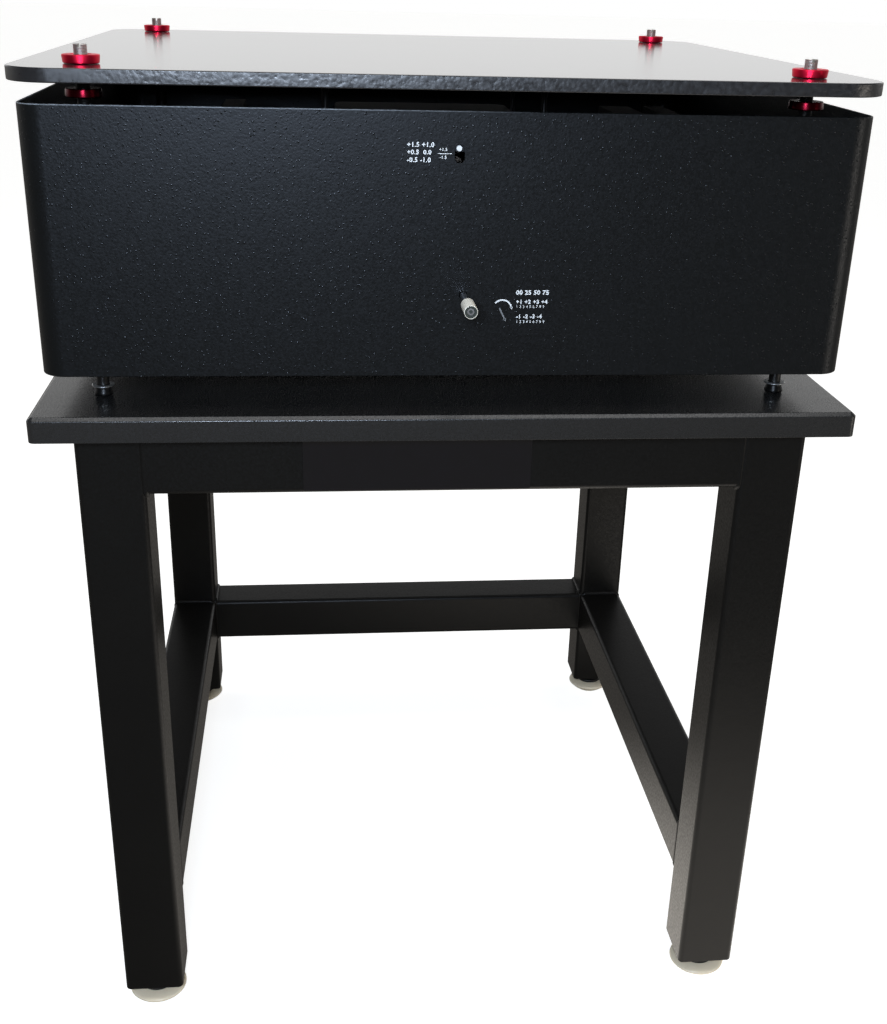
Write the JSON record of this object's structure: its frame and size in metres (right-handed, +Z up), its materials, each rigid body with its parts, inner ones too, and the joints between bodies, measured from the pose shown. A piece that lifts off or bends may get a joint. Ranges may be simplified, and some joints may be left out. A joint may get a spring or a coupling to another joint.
{
  "type": "vibration isolation workstation",
  "caption": "Negative-stiffness vibration isolator with a floating payload plate, standing on a square-tube stand with levelling feet.",
  "frame": {"origin": "centre of the whole object's box, on the floor", "axes": "+Z up, -Y towards the user at the adjuster's side, +X to the user's right"},
  "size_m": [0.617, 0.6694, 0.8241],
  "materials": {
    "laminate_top": "black laminate over board",
    "stand_paint": "satin black paint",
    "cream_glide": "moulded cream",
    "coated_plate": "black powder coat",
    "coated_cover": "black powder coat",
    "dark_steel": "oiled spring steel",
    "plain_steel": "turned and ground",
    "red_anodised": "red anodised",
    "plain_aluminium": "milled",
    "white_mark": "white"
  },
  "bodies": {
    "base": {"stand_top": "laminate_top", "leg_front_left": "stand_paint", "leg_front_right": "stand_paint", "leg_rear_left": "stand_paint", "leg_rear_right": "stand_paint", "apron_front": "stand_paint", "apron_rear": "stand_paint", "apron_left": "stand_paint", "apron_right": "stand_paint", "stretcher_rear": "stand_paint", "stretcher_left": "stand_paint", "stretcher_right": "stand_paint", "base_plate": "coated_plate", "cover": "coated_cover", "stud_front_left": "plain_steel", "stud_front_right": "plain_steel", "stud_rear_left": "plain_steel", "stud_rear_right": "plain_steel", "flexure_post_left": "plain_aluminium", "flexure_post_right": "plain_aluminium", "guide_rod": "plain_steel", "gear_bracket": "plain_aluminium"},
    "hub_carriage": {"hub": "plain_aluminium", "carriage_frame": "plain_aluminium", "indicator_arm": "coated_plate", "indicator_dot": "white_mark", "flexure_left": "dark_steel", "flexure_right": "dark_steel", "support_spring": "dark_steel"},
    "column_stage": {"column_front_left": "dark_steel", "column_front_right": "dark_steel", "column_rear_left": "dark_steel", "column_rear_right": "dark_steel"},
    "payload": {"payload_plate": "coated_plate", "plate_frame": "plain_aluminium"},
    "lead_screw_set": {"lead_screw": "plain_steel", "bevel_gear": "plain_steel"},
    "seat_nut": {"spring_seat": "plain_steel"},
    "adjuster": {"adjuster_shaft": "plain_steel", "pinion": "plain_steel", "adjuster_sleeve": "cream_glide"},
    "stiffness_adjuster": {"stiffness_screw": "plain_steel"},
    "thrust": {"thrust_block": "plain_steel"},
    "upper_nut_body_front_left": {"upper_nut_front_left": "red_anodised"},
    "lower_nut_body_front_left": {"lower_nut_front_left": "red_anodised"},
    "isolator_foot_body_front_left": {"isolator_foot_front_left": "dark_steel"},
    "stand_foot_body_front_left": {"stand_foot_front_left": "cream_glide"},
    "upper_nut_body_front_right": {"upper_nut_front_right": "red_anodised"},
    "lower_nut_body_front_right": {"lower_nut_front_right": "red_anodised"},
    "isolator_foot_body_front_right": {"isolator_foot_front_right": "dark_steel"},
    "stand_foot_body_front_right": {"stand_foot_front_right": "cream_glide"},
    "upper_nut_body_rear_left": {"upper_nut_rear_left": "red_anodised"},
    "lower_nut_body_rear_left": {"lower_nut_rear_left": "red_anodised"},
    "isolator_foot_body_rear_left": {"isolator_foot_rear_left": "dark_steel"},
    "stand_foot_body_rear_left": {"stand_foot_rear_left": "cream_glide"},
    "upper_nut_body_rear_right": {"upper_nut_rear_right": "red_anodised"},
    "lower_nut_body_rear_right": {"lower_nut_rear_right": "red_anodised"},
    "isolator_foot_body_rear_right": {"isolator_foot_rear_right": "dark_steel"},
    "stand_foot_body_rear_right": {"stand_foot_rear_right": "cream_glide"}
  },
  "joints": [
    {"name": "payload_lift", "type": "slide", "parent": "base", "child": "hub_carriage", "axis": [0, 0, 1], "range_m": [-0.006, 0], "stiffness_N_per_m": 20000, "springref_m": 0.035, "deforming": ["support_spring", "flexure_left", "flexure_right"]},
    {"name": "sway_x", "type": "slide", "parent": "hub_carriage", "child": "column_stage", "axis": [1, 0, 0], "range_m": [-0.0025, 0.0025], "stiffness_N_per_m": 3000, "deforming": ["column_front_left", "column_front_right", "column_rear_left", "column_rear_right"]},
    {"name": "sway_y", "type": "slide", "parent": "column_stage", "child": "payload", "axis": [0, 1, 0], "range_m": [-0.0025, 0.0025], "stiffness_N_per_m": 3000, "deforming": ["column_front_left", "column_front_right", "column_rear_left", "column_rear_right"]},
    {"name": "lead_screw_turn", "type": "hinge", "parent": "base", "child": "lead_screw_set", "pos_m": [0.0055, -0.00325, 0.676], "axis": [0, 0, 1], "range_deg": [-2161, 1081]},
    {"name": "seat_lift", "type": "slide", "parent": "base", "child": "seat_nut", "axis": [0, 0, 1], "range_m": [-0.006, 0.012], "deforming": ["support_spring"]},
    {"name": "adjuster_turn", "type": "hinge", "parent": "base", "child": "adjuster", "pos_m": [0.0055, -0.10325, 0.662], "axis": [0, -1, 0], "range_deg": [-4321, 2161]},
    {"name": "stiffness_turn", "type": "hinge", "parent": "base", "child": "stiffness_adjuster", "pos_m": [0.2, -0.00325, 0.753], "axis": [1, 0, 0], "range_deg": [-361, 361]},
    {"name": "thrust_slide", "type": "slide", "parent": "base", "child": "thrust", "axis": [1, 0, 0], "range_m": [-0.00125, 0.00125], "deforming": ["flexure_right"]},
    {"name": "upper_nut_travel_front_left", "type": "slide", "parent": "base", "child": "upper_nut_body_front_left", "axis": [0, 0, 1], "range_m": [0, 0.006]},
    {"name": "lower_nut_travel_front_left", "type": "slide", "parent": "base", "child": "lower_nut_body_front_left", "axis": [0, 0, 1], "range_m": [-0.01, 0.006]},
    {"name": "isolator_foot_screw_front_left", "type": "slide", "parent": "base", "child": "isolator_foot_body_front_left", "axis": [0, 0, 1], "range_m": [0, 0.006]},
    {"name": "stand_foot_screw_front_left", "type": "slide", "parent": "base", "child": "stand_foot_body_front_left", "axis": [0, 0, -1], "range_m": [0, 0.012]},
    {"name": "upper_nut_travel_front_right", "type": "slide", "parent": "base", "child": "upper_nut_body_front_right", "axis": [0, 0, 1], "range_m": [0, 0.006]},
    {"name": "lower_nut_travel_front_right", "type": "slide", "parent": "base", "child": "lower_nut_body_front_right", "axis": [0, 0, 1], "range_m": [-0.01, 0.006]},
    {"name": "isolator_foot_screw_front_right", "type": "slide", "parent": "base", "child": "isolator_foot_body_front_right", "axis": [0, 0, 1], "range_m": [0, 0.006]},
    {"name": "stand_foot_screw_front_right", "type": "slide", "parent": "base", "child": "stand_foot_body_front_right", "axis": [0, 0, -1], "range_m": [0, 0.012]},
    {"name": "upper_nut_travel_rear_left", "type": "slide", "parent": "base", "child": "upper_nut_body_rear_left", "axis": [0, 0, 1], "range_m": [0, 0.006]},
    {"name": "lower_nut_travel_rear_left", "type": "slide", "parent": "base", "child": "lower_nut_body_rear_left", "axis": [0, 0, 1], "range_m": [-0.01, 0.006]},
    {"name": "isolator_foot_screw_rear_left", "type": "slide", "parent": "base", "child": "isolator_foot_body_rear_left", "axis": [0, 0, 1], "range_m": [0, 0.006]},
    {"name": "stand_foot_screw_rear_left", "type": "slide", "parent": "base", "child": "stand_foot_body_rear_left", "axis": [0, 0, -1], "range_m": [0, 0.012]},
    {"name": "upper_nut_travel_rear_right", "type": "slide", "parent": "base", "child": "upper_nut_body_rear_right", "axis": [0, 0, 1], "range_m": [0, 0.006]},
    {"name": "lower_nut_travel_rear_right", "type": "slide", "parent": "base", "child": "lower_nut_body_rear_right", "axis": [0, 0, 1], "range_m": [-0.01, 0.006]},
    {"name": "isolator_foot_screw_rear_right", "type": "slide", "parent": "base", "child": "isolator_foot_body_rear_right", "axis": [0, 0, 1], "range_m": [0, 0.006]},
    {"name": "stand_foot_screw_rear_right", "type": "slide", "parent": "base", "child": "stand_foot_body_rear_right", "axis": [0, 0, -1], "range_m": [0, 0.012]}
  ],
  "couplings": [
    {"joint": "lead_screw_turn", "follows": "seat_lift", "rad_per_m": -3141.6},
    {"joint": "adjuster_turn", "follows": "seat_lift", "rad_per_m": -6283.2},
    {"joint": "stiffness_turn", "follows": "thrust_slide", "rad_per_m": -5026.5}
  ]
}
